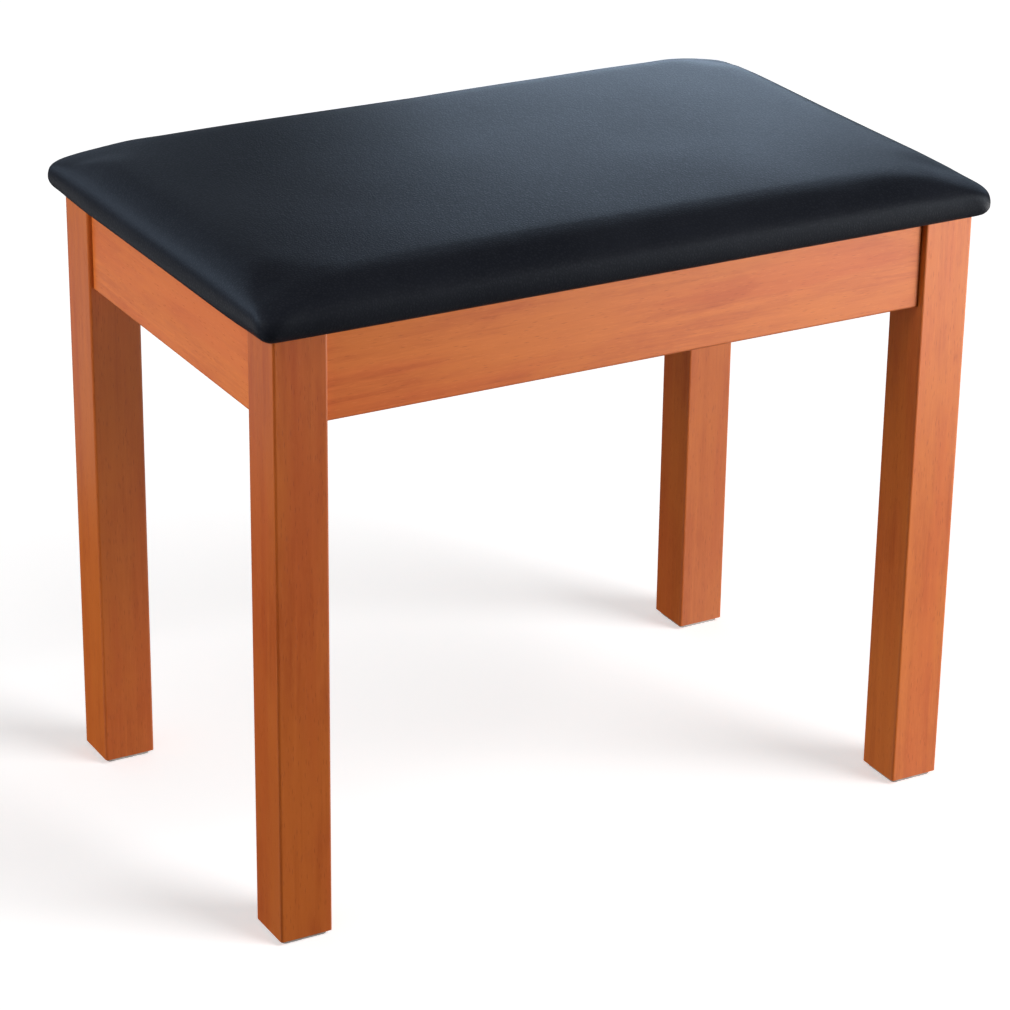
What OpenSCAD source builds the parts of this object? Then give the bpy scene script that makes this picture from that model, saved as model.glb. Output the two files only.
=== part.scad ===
// Piano bench: a padded vinyl seat on a four-legged wooden frame with bolted-on legs.
// Units are millimetres. +Z is up, the front faces -Y, and the origin is on the floor below the middle.

/* [Overall size] */
// length of the seat at its widest, along X
seat_l = 562; // [530:1:620]
// depth of the seat at its widest, along Y
seat_d = 364; // [330:1:400]
// height of the top of the wooden frame above the floor
frame_h = 432; // [400:1:470]

/* [Legs] */
// side of a leg's square section
leg_w = 38; // [35:1:44]
// how far the seat's belly stands out past the legs
overhang = 16; // [13:0.5:18]
// radius of the eased edges on legs and aprons
ease_r = 1.6; // [0.8:0.2:3]

/* [Aprons] */
// height of the aprons
apron_h = 63; // [58:1:80]
// thickness of the aprons
apron_t = 18; // [16:0.5:20]
// how far the front and rear aprons' faces sit behind the legs' faces
setback = 4.5; // [2:0.5:6]
// how far the side aprons' faces sit behind the legs' faces
side_setback = 3; // [2:0.5:6]

/* [Seat] */
// thickness of the finished cushion, from the frame to its top
cushion_h = 33; // [30:1:50]
// plan radius of the cushion's corners at its belly
seat_r = 30; // [26:1:34]
// height of the belly above the cushion's underside
belly_z = 12; // [11:1:18]
// how far the cushion tucks in below its belly
under_in = 9; // [7:0.5:12]
// width of the rounded shoulder between the side and the top
shoulder = 20; // [16:1:24]
// thickness of the vinyl
cover_t = 1.2; // [0.8:0.1:2]
// width of the vinyl turned in under the board
hem_w = 40; // [38:1:43]
// thickness of the plywood board
board_t = 12; // [9:1:15]

/* [Joinery] */
// height of the corner blocks
block_h = 45; // [42:1:50]
// thickness of the corner blocks, measured on the diagonal
block_t = 20; // [16:1:22]
// side of a square felt pad
pad_w = 33; // [28:1:34]
// thickness of a felt pad
pad_t = 3; // [2:0.5:5]

/* [Hidden] */
$fn = 48;

wood = [0.72, 0.36, 0.17];
raw_wood = [0.80, 0.66, 0.47];
vinyl = [0.13, 0.14, 0.17];
foam = [0.90, 0.84, 0.66];
felt = [0.62, 0.62, 0.60];
lining = [0.07, 0.07, 0.08];
steel = [0.66, 0.67, 0.70];
brass = [0.78, 0.66, 0.38];

fit_gap = 0.05;
arc_steps = 8;
ease_steps = 3;

// outer half spans of the four legs
leg_x = seat_l / 2 - overhang;
leg_y = seat_d / 2 - overhang;
// inner corner of a leg
in_x = leg_x - leg_w;
in_y = leg_y - leg_w;
// inner faces of the aprons
apron_x = leg_x - side_setback - apron_t;
apron_y = leg_y - setback - apron_t;
// middle of the aprons' thickness
mid_x = apron_x + apron_t / 2;
mid_y = apron_y + apron_t / 2;

// dowels: two in each apron end
dowel_r = 4;
dowel_l = 30;
dowel_zs = [frame_h - apron_h * 0.75, frame_h - apron_h * 0.25];

// corner blocks: the gap keeps a block off the leg's edge
block_gap = 0.5;
block_z = frame_h - block_h;
bolt_zs = [block_z + 12, block_z + 33];
bolt_r = 3;
bolt_l = 40;
head_r = 5;
head_h = 6;
flat_r = 7;
flat_t = 1.5;
spring_r = 5.2;
spring_t = 1.6;
insert_r = 5;
insert_l = 13;
// distance along the diagonal from the block's inner face to the leg's inner corner
bolt_reach = block_t + block_gap;
insert_in = 2;

// screws that hold each block to its two aprons
screw_r = 2;
screw_head_r = 4;
screw_head_h = 2.4;
block_screw_l = 27;
block_screw_zs = [block_z + 8, block_z + 37];
block_screw_off = 26;
// screws that hold the seat, driven up through the blocks
seat_screw_l = 45;
seat_screw_sink = 8;
seat_screw_bore_r = 5;
seat_screw_side = 14;
seat_screw_back = 15;

// plywood board inside the cover
board_edge = under_in + cover_t + 0.5;
board_l = seat_l - 2 * board_edge;
board_d = seat_d - 2 * board_edge;
board_r = seat_r - board_edge;
board_z = frame_h + cover_t;

// dust cover and its staples
dust_t = 0.8;
dust_x = apron_x - 2.5;
dust_y = apron_y - 2.5;
dust_clip = block_t * sqrt(2) + 3;
staple_l = 10;
staple_w = 1.2;
staple_t = 0.6;
staple_rise = 8;
staple_in = 5;
staples_long = 8;
staples_short = 4;
staple_pitch = 42;

// points of an elliptical arc about (cx, cy), from angle a0 to a1
function arc(cx, cy, rx, ry, a0, a1, steps) =
  [for (i = [0 : steps]) let (a = a0 + (a1 - a0) * i / steps) [cx + rx * cos(a), cy + ry * sin(a)]];

// rectangle of l by w about the origin with rounded corners
function round_rect(l, w, r, steps) = concat(
  arc(l / 2 - r, w / 2 - r, r, r, 0, 90, steps),
  arc(r - l / 2, w / 2 - r, r, r, 90, 180, steps),
  arc(r - l / 2, r - w / 2, r, r, 180, 270, steps),
  arc(l / 2 - r, r - w / 2, r, r, 270, 360, steps)
);

// half section of the cushion, drawn in from its finished surface by inset
function cushion_section(inset) = concat(
  [[0, inset]],
  arc(seat_r - under_in, belly_z, under_in - inset, belly_z - inset, -90, 0, arc_steps),
  arc(seat_r - shoulder, belly_z, shoulder - inset, cushion_h - belly_z - inset, 0, 90, arc_steps),
  [[0, cushion_h - inset]]
);

// puts children, drawn in the +X +Y corner, in the corner with signs sx and sy
module in_corner(sx, sy) {
  mirror([sx < 0 ? 1 : 0, 0, 0])
    mirror([0, sy < 0 ? 1 : 0, 0])
      children();
}

// repeats its children, drawn in the +X +Y corner, in all four corners
module four_corners() {
  for (sx = [-1, 1], sy = [-1, 1])
    in_corner(sx, sy)
      children();
}

// cushion-shaped solid: belly all round, rounded shoulders, flat top
module pillow(inset) {
  cx = seat_l / 2 - seat_r;
  cy = seat_d / 2 - seat_r;
  union() {
    four_corners()
      translate([cx, cy, 0])
        rotate_extrude(angle = 90)
          polygon(cushion_section(inset));
    for (s = [0, 1])
      mirror([0, s, 0])
        translate([-cx, cy, 0])
          rotate([90, 0, 90])
            linear_extrude(2 * cx)
              polygon(cushion_section(inset));
    for (s = [0, 1])
      mirror([s, 0, 0])
        translate([cx, cy, 0])
          rotate([90, 0, 0])
            linear_extrude(2 * cy)
              polygon(cushion_section(inset));
    translate([-cx, -cy, inset])
      cube([2 * cx, 2 * cy, cushion_h - 2 * inset]);
  }
}

// places children so that +Z runs from the block's inner face out along the corner's diagonal
module on_diagonal(z) {
  translate([in_x - bolt_reach / sqrt(2), in_y - bolt_reach / sqrt(2), z])
    rotate([0, 0, 45])
      rotate([0, 90, 0])
        children();
}

// places children at each apron joint of the +X +Y corner, with +Z out of the apron's end
module at_joints() {
  for (z = dowel_zs) {
    translate([in_x, mid_y, z])
      rotate([0, 90, 0])
        children();
    translate([mid_x, in_y, z])
      rotate([-90, 0, 0])
        children();
  }
}

// the screws through one block into its two aprons, with +Z pointing into the apron
module at_block_screws() {
  for (z = block_screw_zs) {
    translate([block_screw_x(), in_y - block_screw_off, z])
      rotate([0, 90, 0])
        children();
    translate([in_x - block_screw_off, block_screw_y(), z])
      rotate([-90, 0, 0])
        children();
  }
}

// where a block screw's head sits on the block's slanted inner face
function block_screw_x() = in_x + block_screw_off - bolt_reach * sqrt(2) + screw_head_r;
function block_screw_y() = in_y + block_screw_off - bolt_reach * sqrt(2) + screw_head_r;

// the two seat screws of the +X +Y corner, with +Z up
module at_seat_screws() {
  for (s = [-1, 1])
    translate([
      in_x - (seat_screw_back - s * seat_screw_side) / 2,
      in_y - (seat_screw_back + s * seat_screw_side) / 2,
      block_z + seat_screw_sink
    ])
      children();
}

// places children at every staple, with the crown along X
module at_staples() {
  for (sy = [-1, 1], i = [0 : staples_long - 1])
    translate([(i - (staples_long - 1) / 2) * staple_pitch, sy * (dust_y - staple_in), 0])
      children();
  for (sx = [-1, 1], i = [0 : staples_short - 1])
    translate([sx * (dust_x - staple_in), (i - (staples_short - 1) / 2) * staple_pitch * 0.9, 0])
      rotate([0, 0, 90])
        children();
}

// the two prongs of a staple, widened by gap on every side
module prongs(gap) {
  for (s = [-1, 1])
    translate([s * (staple_l - staple_t) / 2 - staple_t / 2 - gap, -staple_w / 2 - gap, frame_h - dust_t])
      cube([staple_t + 2 * gap, staple_w + 2 * gap, staple_rise + gap]);
}

// countersunk screw with its point along +Z
module screw(length) {
  union() {
    cylinder(r1 = screw_head_r, r2 = screw_r, h = screw_head_h);
    translate([0, 0, screw_head_h])
      cylinder(r = screw_r, h = length - screw_head_h - screw_r);
    translate([0, 0, length - screw_r])
      cylinder(r1 = screw_r, r2 = 0.2, h = screw_r);
  }
}

// the hole that a screw of that length fills, open behind its head
module screw_hole(length) {
  union() {
    translate([0, 0, -seat_screw_sink])
      cylinder(r = screw_head_r + fit_gap, h = seat_screw_sink);
    cylinder(r1 = screw_head_r + fit_gap, r2 = screw_r + fit_gap, h = screw_head_h);
    translate([0, 0, screw_head_h])
      cylinder(r = screw_r + fit_gap, h = length - screw_head_h);
  }
}

module seat_cover() {
  window_l = seat_l - 2 * (under_in + hem_w);
  window_d = seat_d - 2 * (under_in + hem_w);
  color(vinyl)
    difference() {
      translate([0, 0, frame_h])
        pillow(0);
      translate([0, 0, frame_h])
        pillow(cover_t);
      translate([-window_l / 2, -window_d / 2, frame_h - 1])
        cube([window_l, window_d, cover_t + 2]);
      at_staples()
        prongs(fit_gap);
    }
}

module foam_pad() {
  color(foam)
    difference() {
      translate([0, 0, frame_h])
        pillow(cover_t + 0.3);
      translate([-seat_l / 2, -seat_d / 2, frame_h])
        cube([seat_l, seat_d, cover_t + board_t]);
    }
}

module seat_board() {
  color(raw_wood)
    difference() {
      translate([0, 0, board_z])
        linear_extrude(board_t)
          polygon(round_rect(board_l, board_d, board_r, arc_steps));
      at_staples()
        prongs(fit_gap);
      four_corners()
        at_seat_screws()
          screw_hole(seat_screw_l);
    }
}

module dust_cover() {
  color(lining)
    difference() {
      translate([0, 0, frame_h - dust_t])
        linear_extrude(dust_t)
          polygon([
            [dust_x, in_y + in_x - dust_clip - dust_x],
            [in_x + in_y - dust_clip - dust_y, dust_y],
            [-(in_x + in_y - dust_clip - dust_y), dust_y],
            [-dust_x, in_y + in_x - dust_clip - dust_x],
            [-dust_x, -(in_y + in_x - dust_clip - dust_x)],
            [-(in_x + in_y - dust_clip - dust_y), -dust_y],
            [in_x + in_y - dust_clip - dust_y, -dust_y],
            [dust_x, -(in_y + in_x - dust_clip - dust_x)]
          ]);
      at_staples()
        prongs(fit_gap);
    }
}

module cover_staples() {
  color(steel)
    at_staples()
      union() {
        translate([-staple_l / 2, -staple_w / 2, frame_h - dust_t - staple_t])
          cube([staple_l, staple_w, staple_t]);
        prongs(0);
      }
}

// section of an apron: eased edges towards the outside, which is +X here
module apron_section() {
  polygon(concat(
    [[0, 0]],
    arc(apron_t - ease_r, ease_r, ease_r, ease_r, -90, 0, ease_steps),
    arc(apron_t - ease_r, apron_h - ease_r, ease_r, ease_r, 0, 90, ease_steps),
    [[0, apron_h]]
  ));
}

// apron from above, along X with its outside towards +Y: the outer edges of its ends are eased too
module apron_plan(length) {
  polygon(concat(
    [[-length / 2, 0], [length / 2, 0]],
    arc(length / 2 - ease_r, apron_t - ease_r, ease_r, ease_r, 0, 90, ease_steps),
    arc(ease_r - length / 2, apron_t - ease_r, ease_r, ease_r, 90, 180, ease_steps)
  ));
}

// plain apron, its inner face on the X axis
module apron_bar(length) {
  intersection() {
    translate([-length / 2, 0, 0])
      rotate([90, 0, 90])
        linear_extrude(length)
          apron_section();
    linear_extrude(apron_h)
      apron_plan(length);
  }
}

// holes in the aprons for all the dowels and block screws
module apron_holes() {
  four_corners() {
    at_joints()
      dowel(fit_gap);
    at_block_screws()
      screw_hole(block_screw_l);
  }
}

// apron on the +Y side
module long_apron() {
  color(wood)
    difference() {
      translate([0, apron_y, frame_h - apron_h])
        apron_bar(2 * in_x);
      apron_holes();
    }
}

// apron on the +X side
module short_apron() {
  color(wood)
    difference() {
      translate([apron_x, 0, frame_h - apron_h])
        rotate([0, 0, -90])
          apron_bar(2 * in_y);
      apron_holes();
    }
}

module front_apron() {
  mirror([0, 1, 0])
    long_apron();
}

module rear_apron() {
  long_apron();
}

module left_apron() {
  mirror([1, 0, 0])
    short_apron();
}

module right_apron() {
  short_apron();
}

// one dowel centred on the joint, widened by gap
module dowel(gap) {
  translate([0, 0, -dowel_l / 2 - gap])
    cylinder(r = dowel_r + gap, h = dowel_l + 2 * gap);
}

module apron_dowels() {
  color(raw_wood)
    four_corners()
      at_joints()
        dowel(0);
}

// leg of the +X +Y corner
module leg() {
  color(wood)
    difference() {
      translate([leg_x - leg_w / 2, leg_y - leg_w / 2, pad_t])
        linear_extrude(frame_h - pad_t)
          polygon(round_rect(leg_w, leg_w, ease_r, ease_steps));
      at_joints()
        dowel(fit_gap);
      for (z = bolt_zs)
        on_diagonal(z) {
          translate([0, 0, bolt_reach - 2])
            cylinder(r = insert_r + fit_gap, h = insert_in + insert_l + 2 + fit_gap);
          cylinder(r = bolt_r + 0.25, h = bolt_l + 2);
        }
    }
}

module front_left_leg() {
  in_corner(-1, -1)
    leg();
}

module front_right_leg() {
  in_corner(1, -1)
    leg();
}

module rear_left_leg() {
  in_corner(-1, 1)
    leg();
}

module rear_right_leg() {
  in_corner(1, 1)
    leg();
}

// corner block of the +X +Y corner: it spans the two aprons behind the leg
module block() {
  outer = in_x + in_y - block_gap * sqrt(2);
  inner = outer - block_t * sqrt(2);
  color(raw_wood)
    difference() {
      translate([0, 0, block_z])
        linear_extrude(block_h)
          polygon([
            [apron_x, outer - apron_x],
            [outer - apron_y, apron_y],
            [inner - apron_y, apron_y],
            [apron_x, inner - apron_x]
          ]);
      for (z = bolt_zs)
        on_diagonal(z)
          translate([0, 0, -1])
            cylinder(r = bolt_r + 0.25, h = block_t + 3);
      at_block_screws()
        screw_hole(block_screw_l);
      at_seat_screws() {
        screw_hole(seat_screw_l);
        translate([0, 0, -seat_screw_sink - 1])
          cylinder(r = seat_screw_bore_r, h = seat_screw_sink + 1);
      }
    }
}

module front_left_block() {
  in_corner(-1, -1)
    block();
}

module front_right_block() {
  in_corner(1, -1)
    block();
}

module rear_left_block() {
  in_corner(-1, 1)
    block();
}

module rear_right_block() {
  in_corner(1, 1)
    block();
}

module leg_bolts() {
  color(steel)
    four_corners()
      for (z = bolt_zs)
        on_diagonal(z)
          translate([0, 0, -flat_t - spring_t])
            difference() {
              union() {
                translate([0, 0, -head_h])
                  cylinder(r = head_r, h = head_h);
                cylinder(r = bolt_r, h = bolt_l);
              }
              translate([0, 0, -head_h - 1])
                cylinder(r = 2.9, h = 4, $fn = 6);
            }
}

// washer with its outer radius and thickness given, bored to clear the bolt
module washer(radius, thick) {
  difference() {
    cylinder(r = radius, h = thick);
    translate([0, 0, -1])
      cylinder(r = bolt_r + 0.2, h = thick + 2);
  }
}

module spring_washers() {
  color(steel)
    four_corners()
      for (z = bolt_zs)
        on_diagonal(z)
          translate([0, 0, -flat_t - spring_t])
            washer(spring_r, spring_t);
}

module flat_washers() {
  color(steel)
    four_corners()
      for (z = bolt_zs)
        on_diagonal(z)
          translate([0, 0, -flat_t])
            washer(flat_r, flat_t);
}

module threaded_inserts() {
  color(brass)
    four_corners()
      for (z = bolt_zs)
        on_diagonal(z)
          translate([0, 0, bolt_reach + insert_in])
            difference() {
              cylinder(r = insert_r, h = insert_l);
              translate([0, 0, -1])
                cylinder(r = bolt_r + fit_gap, h = insert_l + 2);
            }
}

module block_screws() {
  color(steel)
    four_corners()
      at_block_screws()
        screw(block_screw_l);
}

module seat_screws() {
  color(steel)
    four_corners()
      at_seat_screws()
        screw(seat_screw_l);
}

// felt pad of the +X +Y corner
module pad() {
  color(felt)
    translate([leg_x - leg_w / 2, leg_y - leg_w / 2, 0])
      linear_extrude(pad_t)
        polygon(round_rect(pad_w, pad_w, 3, ease_steps));
}

module front_left_pad() {
  in_corner(-1, -1)
    pad();
}

module front_right_pad() {
  in_corner(1, -1)
    pad();
}

module rear_left_pad() {
  in_corner(-1, 1)
    pad();
}

module rear_right_pad() {
  in_corner(1, 1)
    pad();
}

seat_cover();
foam_pad();
seat_board();
dust_cover();
cover_staples();
front_apron();
rear_apron();
left_apron();
right_apron();
apron_dowels();
front_left_leg();
front_right_leg();
rear_left_leg();
rear_right_leg();
front_left_block();
front_right_block();
rear_left_block();
rear_right_block();
leg_bolts();
spring_washers();
flat_washers();
threaded_inserts();
block_screws();
seat_screws();
front_left_pad();
front_right_pad();
rear_left_pad();
rear_right_pad();
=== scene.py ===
import math

import bmesh
import bpy
import numpy as np
from mathutils import Matrix, Quaternion, Vector, noise


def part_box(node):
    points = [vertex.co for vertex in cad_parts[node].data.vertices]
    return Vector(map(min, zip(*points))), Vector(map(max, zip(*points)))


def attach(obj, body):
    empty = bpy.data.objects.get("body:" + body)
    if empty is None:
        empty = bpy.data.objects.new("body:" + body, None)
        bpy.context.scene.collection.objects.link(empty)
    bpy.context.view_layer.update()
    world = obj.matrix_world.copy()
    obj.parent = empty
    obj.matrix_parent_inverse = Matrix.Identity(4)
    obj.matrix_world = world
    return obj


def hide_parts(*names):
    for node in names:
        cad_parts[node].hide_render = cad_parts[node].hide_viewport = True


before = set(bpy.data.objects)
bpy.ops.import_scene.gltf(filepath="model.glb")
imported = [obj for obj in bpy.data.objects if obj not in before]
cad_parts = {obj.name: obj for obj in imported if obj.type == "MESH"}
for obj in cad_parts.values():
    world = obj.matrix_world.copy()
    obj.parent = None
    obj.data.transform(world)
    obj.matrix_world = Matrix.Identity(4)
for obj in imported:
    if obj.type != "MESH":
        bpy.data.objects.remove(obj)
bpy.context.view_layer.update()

# ---------------------------------------------------------------- sizes, in metres

MM = 0.001
FRAME_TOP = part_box("seat_cover")[0].z
leg_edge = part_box("rear_right_leg")[1]
TINY = 1e-9


def direction(azimuth, elevation):
    """The unit vector towards that azimuth and elevation, in degrees. Azimuth 0 is straight in front."""
    azimuth, elevation = math.radians(azimuth), math.radians(elevation)
    level = math.cos(elevation)
    return Vector((math.sin(azimuth) * level, -math.cos(azimuth) * level, math.sin(elevation)))


def add_object(name, data):
    o = bpy.data.objects.new(name, data)
    bpy.context.scene.collection.objects.link(o)
    return o


# ---------------------------------------------------------------- material tools


class Shader:
    """A material under construction: makes nodes, and links or sets their sockets."""

    def __init__(self, name):
        self.material = bpy.data.materials.new(name)
        self.material.use_nodes = True
        self.tree = self.material.node_tree
        self.tree.nodes.clear()
        self.output = self.node("ShaderNodeOutputMaterial")
        self.bsdf = self.node("ShaderNodeBsdfPrincipled")
        self.tree.links.new(self.bsdf.outputs["BSDF"], self.output.inputs["Surface"])

    def node(self, kind, **settings):
        made = self.tree.nodes.new(kind)
        for key, value in settings.items():
            setattr(made, key, value)
        return made

    def feed(self, socket, value):
        """Links value to the socket if it is an output, and otherwise sets it as the socket's own value."""
        if isinstance(value, bpy.types.NodeSocket):
            self.tree.links.new(value, socket)
        else:
            socket.default_value = value

    def set(self, **sockets):
        """Sets sockets of the principled shader: spaces in their names are written as underscores."""
        for key, value in sockets.items():
            self.feed(self.bsdf.inputs[key.replace("_", " ")], value)

    def place(self):
        """Where a point is, in metres in the shared frame."""
        return self.node("ShaderNodeTexCoord").outputs["Object"]

    def math(self, operation, a, b=0.0, c=0.0, clamp=False):
        made = self.node("ShaderNodeMath", operation=operation, use_clamp=clamp)
        for socket, value in zip(made.inputs, (a, b, c)):
            self.feed(socket, value)
        return made.outputs[0]

    def vector(self, operation, a, b=(0.0, 0.0, 0.0)):
        made = self.node("ShaderNodeVectorMath", operation=operation)
        self.feed(made.inputs[0], a)
        self.feed(made.inputs[1], b)
        return made.outputs["Value" if operation == "LENGTH" else "Vector"]

    def split(self, vector):
        made = self.node("ShaderNodeSeparateXYZ")
        self.feed(made.inputs[0], vector)
        return list(made.outputs)

    def join(self, x, y, z):
        made = self.node("ShaderNodeCombineXYZ")
        for socket, value in zip(made.inputs, (x, y, z)):
            self.feed(socket, value)
        return made.outputs[0]

    def noise(self, vector, scale, detail=2.0, roughness=0.5, distortion=0.0):
        """Noise from 0 to 1. scale is one number, or one per axis where the noise is stretched."""
        if not isinstance(scale, (int, float)):
            vector, scale = self.vector("MULTIPLY", vector, tuple(scale)), 1.0
        made = self.node("ShaderNodeTexNoise")
        self.feed(made.inputs["Vector"], vector)
        settings = {"Scale": scale, "Detail": detail, "Roughness": roughness, "Distortion": distortion}
        for key, value in settings.items():
            made.inputs[key].default_value = value
        return made.outputs["Fac"]

    def voronoi(self, vector, scale, feature="F1", randomness=1.0):
        if not isinstance(scale, (int, float)):
            vector, scale = self.vector("MULTIPLY", vector, tuple(scale)), 1.0
        made = self.node("ShaderNodeTexVoronoi", feature=feature)
        self.feed(made.inputs["Vector"], vector)
        made.inputs["Scale"].default_value = scale
        made.inputs["Randomness"].default_value = randomness
        return made

    def spread(self, value, low, high, to_low=0.0, to_high=1.0, smooth=True):
        """value's range low..high becomes to_low..to_high, clamped."""
        kind = "SMOOTHSTEP" if smooth else "LINEAR"
        made = self.node("ShaderNodeMapRange", interpolation_type=kind)
        for socket, item in zip(made.inputs, (value, low, high, to_low, to_high)):
            self.feed(socket, item)
        return made.outputs[0]

    def blend(self, factor, a, b):
        """Mixes two colours: factor 0 is a, and 1 is b."""
        made = self.node("ShaderNodeMix", data_type="RGBA")
        self.feed(made.inputs[0], factor)
        for socket, value in ((made.inputs[6], a), (made.inputs[7], b)):
            if not isinstance(value, bpy.types.NodeSocket):
                value = (*value, 1.0)
            self.feed(socket, value)
        return made.outputs[2]

    def bump(self, height, distance, strength):
        """Bump from a height of 0 to 1 that stands for distance metres."""
        made = self.node("ShaderNodeBump")
        made.inputs["Strength"].default_value = strength
        made.inputs["Distance"].default_value = distance
        self.feed(made.inputs["Height"], height)
        return made.outputs["Normal"]


# ---------------------------------------------------------------- wood

# colours of the stained wood, in linear red, green and blue
STAIN_DEEP = (0.390, 0.0730, 0.0100)
STAIN_LIGHT = (0.560, 0.1400, 0.0240)
STAIN_PATCH = (0.560, 0.1460, 0.0210)
STAIN_DRIFT = (0.500, 0.0930, 0.0170)
PORE_DARK = (0.240, 0.0380, 0.0060)
PORE_PALE = (0.660, 0.1950, 0.0500)
# painted highlight and painted shade on the stained wood's eased edges
EDGE_HIGHLIGHT = (0.720, 0.2400, 0.0850)
EDGE_SHADE = (0.230, 0.0360, 0.0060)
# colours of the unfinished pale wood and of the plywood
PLAIN_DARK = (0.44, 0.27, 0.13)
PLAIN_LIGHT = (0.62, 0.43, 0.25)
PLY_DARK = (0.42, 0.27, 0.14)
PLY_LIGHT = (0.62, 0.45, 0.27)
PLY_GLUE = (0.13, 0.07, 0.035)
# what a tone does to red, green and blue: a darker board is also redder
TONE_POWERS = (1, 1.25, 1.4)
# the ring width of the stained and of the plain wood, and how far in from the stained wood's eased edges its
# painted highlight and painted shade reach
RING_PITCH = 7.5 * MM
PLAIN_RING_PITCH = 3.6 * MM
EDGE_LIGHT_WIDTH = 2.2 * MM
# how far the rings waver, and how far the noise moves on with each step of the seed
RING_WAVER = 10 * MM
SEED_STEP = (0.37, 0.53, 1.9)
# the product of a point's two offsets across the section that puts it fully on one diagonal
EDGE_SIDE = 1e-5


def grain_space(s, low, high, grain, seed):
    """Coordinates from the piece's middle, with the fibres along the last one: the two across, the one along,
    and all three shifted by the piece's own seed."""
    centred = s.vector("SUBTRACT", s.place(), tuple((low + high) / 2))
    axes = s.split(centred)
    along = axes.pop(grain)
    shifted = s.vector("ADD", s.join(*axes, along), tuple(seed * step for step in SEED_STEP))
    return axes, along, shifted


def ring_lines(s, axes, along, fibres, pith, lean, pitch):
    """0 to 1: how close a point lies to the dark edge of its growth ring."""
    wave = s.noise(fibres, (14, 14, 3.0), detail=2.0)
    wobble = s.math("MULTIPLY", s.math("SUBTRACT", wave, 0.5), RING_WAVER)
    a = s.math("ADD", s.math("MULTIPLY_ADD", along, lean[0], axes[0]), pith[0])
    b = s.math("ADD", s.math("MULTIPLY_ADD", along, lean[1], axes[1]), pith[1])
    radius = s.math("ADD", s.vector("LENGTH", s.join(a, b, 0.0)), wobble)
    phase = s.math("FRACT", s.math("DIVIDE", radius, pitch))
    rise = s.spread(phase, 0.35, 0.93)
    fall = s.spread(phase, 0.93, 1.0, 1.0, 0.0)
    return s.math("MULTIPLY", rise, fall)


def painted_edge_light(s, low, high, grain, width):
    """1 on the long eased edges of a straight piece, fading to 0 over width, and which of the two diagonals
    across the section the edge lies on: positive or negative."""
    centre, half = (low + high) / 2, (high - low) / 2
    offset = s.vector("SUBTRACT", s.place(), tuple(centre))
    across = [part for k, part in enumerate(s.split(offset)) if k != grain]
    parts = s.split(s.vector("ABSOLUTE", offset))
    gaps = [s.math("SUBTRACT", half[k], parts[k]) for k in range(3) if k != grain]
    return s.spread(s.math("MAXIMUM", *gaps), 0.0, width, 1.0, 0.0), s.math("MULTIPLY", *across)


def toned(colour, tone):
    return tuple(part * tone ** power for part, power in zip(colour, TONE_POWERS))


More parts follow.
